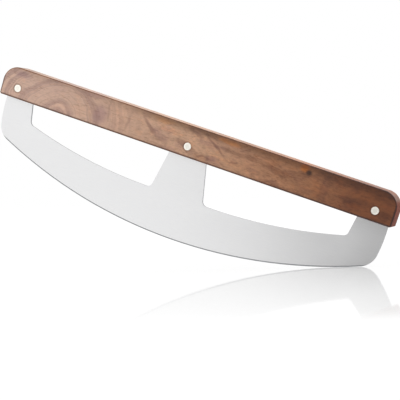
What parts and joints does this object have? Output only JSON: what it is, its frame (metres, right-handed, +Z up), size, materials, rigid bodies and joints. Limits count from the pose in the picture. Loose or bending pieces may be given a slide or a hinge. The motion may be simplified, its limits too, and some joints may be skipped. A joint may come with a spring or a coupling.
{
  "type": "rocking pizza knife",
  "caption": "Rocking pizza knife: a curved steel blade, open above its cutting band, riveted between the halves of a long straight wooden handle.",
  "frame": {"origin": "lowest point of the rocking edge, under the middle rivet, on the middle plane of the blade", "axes": "+X along the handle, to the right as the front is seen; +Y from the front to the back; +Z up, from the rocking edge to the handle"},
  "size_m": [0.439, 0.022, 0.1176],
  "materials": {
    "blade_steel": "satin, finely ground, with a duller ground bevel",
    "walnut": "oiled, satin",
    "rivet_steel": "polished flush"
  },
  "bodies": {
    "root": {"blade": "blade_steel", "front_scale": "walnut", "back_scale": "walnut", "left_rivet_sleeve": "rivet_steel", "left_rivet_post": "rivet_steel", "middle_rivet_sleeve": "rivet_steel", "middle_rivet_post": "rivet_steel", "right_rivet_sleeve": "rivet_steel", "right_rivet_post": "rivet_steel"}
  },
  "joints": []
}
